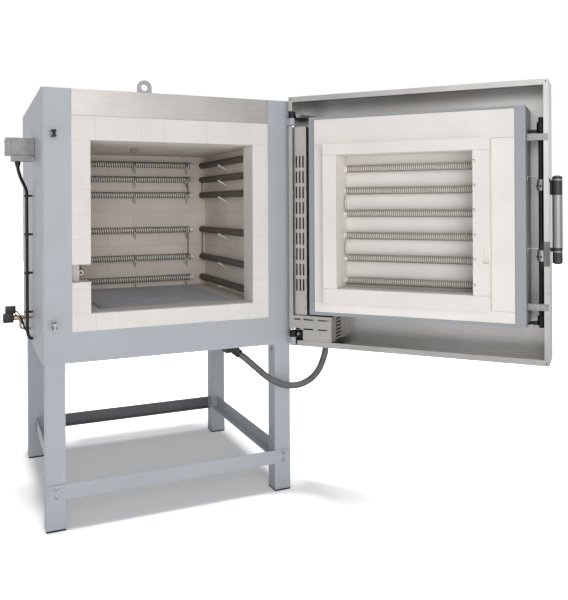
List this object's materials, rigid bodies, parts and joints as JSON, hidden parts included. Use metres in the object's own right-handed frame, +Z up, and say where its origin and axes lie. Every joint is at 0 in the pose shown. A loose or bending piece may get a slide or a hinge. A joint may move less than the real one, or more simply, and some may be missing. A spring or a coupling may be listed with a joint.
{
  "type": "chamber furnace",
  "caption": "Front-loading brick-lined chamber furnace on a stand, heated on five sides and in its side-hinged door, with a swinging lock handle.",
  "frame": {"origin": "on the floor at the centre of the four anchor holes in the stand's foot plates", "axes": "+Z up, -Y out of the furnace's opening, +X towards the door's hinge"},
  "size_m": [1.7373, 1.719, 1.5579],
  "materials": {
    "stand_paint": "smooth light blue-grey paint",
    "case_paint": "smooth light blue-grey paint",
    "zinc_steel": "zinc plated",
    "stainless": "brushed stainless steel",
    "firebrick": "smooth pale insulating firebrick",
    "insulation": "matt pale insulation",
    "silicon_carbide": "dense dark ceramic plate",
    "heating_wire": "oxidised resistance wire",
    "door_wire": "oxidised resistance wire",
    "tube_ceramic": "fired ceramic",
    "black_steel": "blackened steel",
    "black_plastic": "moulded black plastic",
    "cable_jacket": "black cable jacket",
    "conduit_grey": "grey flexible conduit",
    "box_grey": "light grey moulded box",
    "brass": "machined brass",
    "frame_paint": "blue-grey paint",
    "grip_aluminium": "satin anodised"
  },
  "bodies": {
    "case": {"front_left_leg": "stand_paint", "front_right_leg": "stand_paint", "rear_left_leg": "stand_paint", "rear_right_leg": "stand_paint", "foot_plates": "zinc_steel", "front_rail": "stand_paint", "rear_rail": "stand_paint", "left_rail": "stand_paint", "right_rail": "stand_paint", "stand_bolts": "zinc_steel", "floor_panel": "case_paint", "left_panel": "case_paint", "right_panel": "case_paint", "rear_panel": "case_paint", "roof_panel": "case_paint", "front_frame": "case_paint", "header_panel": "stainless", "collar_bricks": "firebrick", "left_lining": "insulation", "right_lining": "insulation", "rear_lining": "insulation", "roof_lining": "insulation", "floor_lining": "insulation", "hearth_plate": "silicon_carbide", "left_coils": "heating_wire", "right_coils": "heating_wire", "rear_coils": "heating_wire", "floor_coils": "heating_wire", "coil_tubes": "tube_ceramic", "support_pins": "tube_ceramic", "coil_links": "heating_wire", "thermocouple": "tube_ceramic", "rear_cover": "case_paint", "lifting_lugs": "zinc_steel", "lock_catches": "black_steel", "hinge_lugs": "case_paint", "hinge_pins": "zinc_steel", "conduit_gland": "black_plastic", "junction_box": "box_grey", "side_cable": "cable_jacket", "cable_clips": "black_plastic", "purge_valve": "brass", "valve_coil": "black_plastic", "door_conduit": "conduit_grey"},
    "door": {"door_shell": "stainless", "door_frame": "frame_paint", "door_lining": "insulation", "door_bricks": "firebrick", "door_coils": "door_wire", "door_tubes": "tube_ceramic", "hinge_arms": "zinc_steel", "slotted_cover": "stainless", "terminal_box": "stainless", "lock_bearings": "stainless"},
    "lock": {"lock_shaft": "black_steel", "lock_claws": "black_steel", "handle_arms": "zinc_steel", "handle_tube": "grip_aluminium", "handle_caps": "black_plastic"}
  },
  "joints": [
    {"name": "door_swing", "type": "hinge", "parent": "case", "child": "door", "pos_m": [0.448, -0.46, 1], "axis": [0, 0, 1], "range_deg": [-131.5, 5]},
    {"name": "lock_turn", "type": "hinge", "parent": "door", "child": "lock", "pos_m": [1.06268, -1.11251, 1], "axis": [0, 0, 1], "range_deg": [0, 40]}
  ]
}
